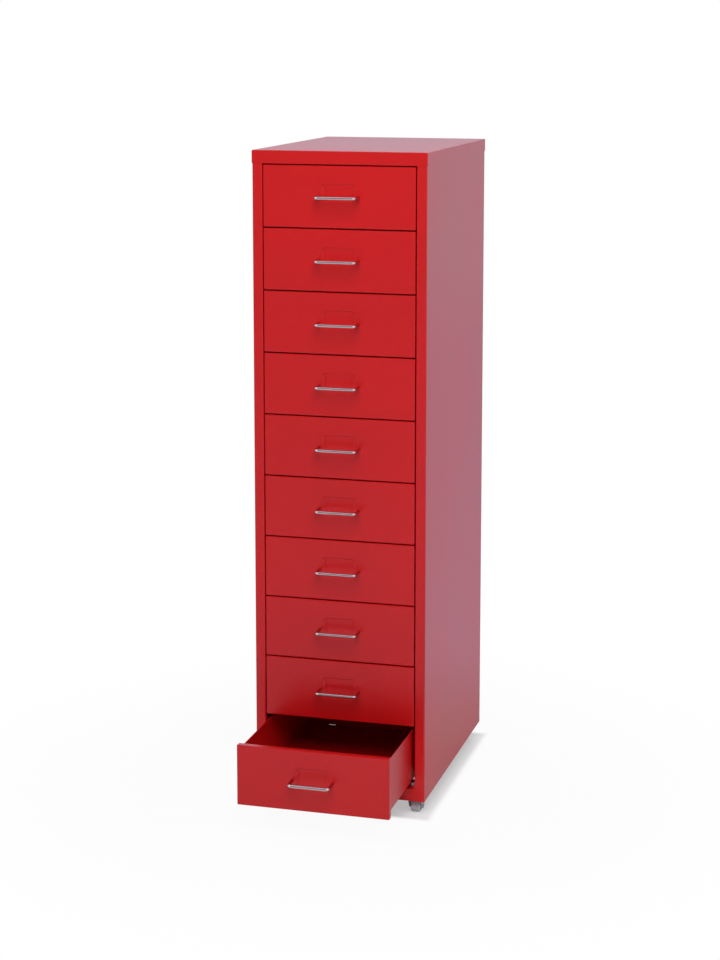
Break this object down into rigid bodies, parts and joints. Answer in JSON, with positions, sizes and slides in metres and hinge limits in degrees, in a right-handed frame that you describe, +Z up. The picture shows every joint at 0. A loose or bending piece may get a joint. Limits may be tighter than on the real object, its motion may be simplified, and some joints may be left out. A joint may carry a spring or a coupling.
{
  "type": "rolling drawer cabinet",
  "caption": "Tall narrow sheet-steel cabinet of equal drawers with wire handles and label recesses, on small swivel casters; holds tools, papers and small parts.",
  "frame": {"origin": "on the floor under the middle of the whole as pictured, with the lowest drawer pulled out part way", "axes": "+Z up, front and drawers towards -Y, +X to the right of someone facing the front"},
  "size_m": [0.2816, 0.5874, 1.056],
  "materials": {
    "red_paint": "semi-gloss red powder coat",
    "chrome_wire": "bright chrome plate on bent wire",
    "zinc_plate": "dull zinc plate",
    "grey_plastic": "satin grey moulded plastic"
  },
  "bodies": {
    "case": {"right_side_panel": "red_paint", "left_side_panel": "red_paint", "back_panel": "red_paint", "top_cap": "red_paint", "front_base_rail": "red_paint", "rear_base_rail": "red_paint", "drawer_runners": "red_paint", "caster_kingpins": "zinc_plate"},
    "drawer_01": {"drawer_01_front": "red_paint", "drawer_01_box": "red_paint", "drawer_01_handle": "chrome_wire", "drawer_01_handle_screws": "zinc_plate"},
    "drawer_02": {"drawer_02_front": "red_paint", "drawer_02_box": "red_paint", "drawer_02_handle": "chrome_wire", "drawer_02_handle_screws": "zinc_plate"},
    "drawer_03": {"drawer_03_front": "red_paint", "drawer_03_box": "red_paint", "drawer_03_handle": "chrome_wire", "drawer_03_handle_screws": "zinc_plate"},
    "drawer_04": {"drawer_04_front": "red_paint", "drawer_04_box": "red_paint", "drawer_04_handle": "chrome_wire", "drawer_04_handle_screws": "zinc_plate"},
    "drawer_05": {"drawer_05_front": "red_paint", "drawer_05_box": "red_paint", "drawer_05_handle": "chrome_wire", "drawer_05_handle_screws": "zinc_plate"},
    "drawer_06": {"drawer_06_front": "red_paint", "drawer_06_box": "red_paint", "drawer_06_handle": "chrome_wire", "drawer_06_handle_screws": "zinc_plate"},
    "drawer_07": {"drawer_07_front": "red_paint", "drawer_07_box": "red_paint", "drawer_07_handle": "chrome_wire", "drawer_07_handle_screws": "zinc_plate"},
    "drawer_08": {"drawer_08_front": "red_paint", "drawer_08_box": "red_paint", "drawer_08_handle": "chrome_wire", "drawer_08_handle_screws": "zinc_plate"},
    "drawer_09": {"drawer_09_front": "red_paint", "drawer_09_box": "red_paint", "drawer_09_handle": "chrome_wire", "drawer_09_handle_screws": "zinc_plate"},
    "drawer_10": {"drawer_10_front": "red_paint", "drawer_10_box": "red_paint", "drawer_10_handle": "chrome_wire", "drawer_10_handle_screws": "zinc_plate"},
    "front_left_caster_fork": {"front_left_caster_fork": "zinc_plate", "front_left_caster_axle": "zinc_plate"},
    "front_left_caster_wheel": {"front_left_caster_wheel": "grey_plastic"},
    "front_right_caster_fork": {"front_right_caster_fork": "zinc_plate", "front_right_caster_axle": "zinc_plate"},
    "front_right_caster_wheel": {"front_right_caster_wheel": "grey_plastic"},
    "rear_left_caster_fork": {"rear_left_caster_fork": "zinc_plate", "rear_left_caster_axle": "zinc_plate"},
    "rear_left_caster_wheel": {"rear_left_caster_wheel": "grey_plastic"},
    "rear_right_caster_fork": {"rear_right_caster_fork": "zinc_plate", "rear_right_caster_axle": "zinc_plate"},
    "rear_right_caster_wheel": {"rear_right_caster_wheel": "grey_plastic"}
  },
  "joints": [
    {"name": "drawer_01_slide", "type": "slide", "parent": "case", "child": "drawer_01", "axis": [0, -1, 0], "range_m": [0, 0.3]},
    {"name": "drawer_02_slide", "type": "slide", "parent": "case", "child": "drawer_02", "axis": [0, -1, 0], "range_m": [0, 0.3]},
    {"name": "drawer_03_slide", "type": "slide", "parent": "case", "child": "drawer_03", "axis": [0, -1, 0], "range_m": [0, 0.3]},
    {"name": "drawer_04_slide", "type": "slide", "parent": "case", "child": "drawer_04", "axis": [0, -1, 0], "range_m": [0, 0.3]},
    {"name": "drawer_05_slide", "type": "slide", "parent": "case", "child": "drawer_05", "axis": [0, -1, 0], "range_m": [0, 0.3]},
    {"name": "drawer_06_slide", "type": "slide", "parent": "case", "child": "drawer_06", "axis": [0, -1, 0], "range_m": [0, 0.3]},
    {"name": "drawer_07_slide", "type": "slide", "parent": "case", "child": "drawer_07", "axis": [0, -1, 0], "range_m": [0, 0.3]},
    {"name": "drawer_08_slide", "type": "slide", "parent": "case", "child": "drawer_08", "axis": [0, -1, 0], "range_m": [0, 0.3]},
    {"name": "drawer_09_slide", "type": "slide", "parent": "case", "child": "drawer_09", "axis": [0, -1, 0], "range_m": [0, 0.3]},
    {"name": "drawer_10_slide", "type": "slide", "parent": "case", "child": "drawer_10", "axis": [0, -1, 0], "range_m": [-0.149, 0.151]},
    {"name": "front_left_caster_swivel", "type": "hinge", "parent": "case", "child": "front_left_caster_fork", "pos_m": [-0.121, -0.09867, 0.04515], "axis": [0, 0, 1], "continuous": true},
    {"name": "front_left_caster_roll", "type": "hinge", "parent": "front_left_caster_fork", "child": "front_left_caster_wheel", "pos_m": [-0.121, -0.09068, 0.0125], "axis": [1, 0, 0], "continuous": true},
    {"name": "front_right_caster_swivel", "type": "hinge", "parent": "case", "child": "front_right_caster_fork", "pos_m": [0.121, -0.09867, 0.04515], "axis": [0, 0, 1], "continuous": true},
    {"name": "front_right_caster_roll", "type": "hinge", "parent": "front_right_caster_fork", "child": "front_right_caster_wheel", "pos_m": [0.121, -0.09068, 0.0125], "axis": [1, 0, 0], "continuous": true},
    {"name": "rear_left_caster_swivel", "type": "hinge", "parent": "case", "child": "rear_left_caster_fork", "pos_m": [-0.104, 0.26882, 0.04515], "axis": [0, 0, 1], "continuous": true},
    {"name": "rear_left_caster_roll", "type": "hinge", "parent": "rear_left_caster_fork", "child": "rear_left_caster_wheel", "pos_m": [-0.104, 0.27682, 0.0125], "axis": [1, 0, 0], "continuous": true},
    {"name": "rear_right_caster_swivel", "type": "hinge", "parent": "case", "child": "rear_right_caster_fork", "pos_m": [0.104, 0.26882, 0.04515], "axis": [0, 0, 1], "continuous": true},
    {"name": "rear_right_caster_roll", "type": "hinge", "parent": "rear_right_caster_fork", "child": "rear_right_caster_wheel", "pos_m": [0.104, 0.27682, 0.0125], "axis": [1, 0, 0], "continuous": true}
  ]
}
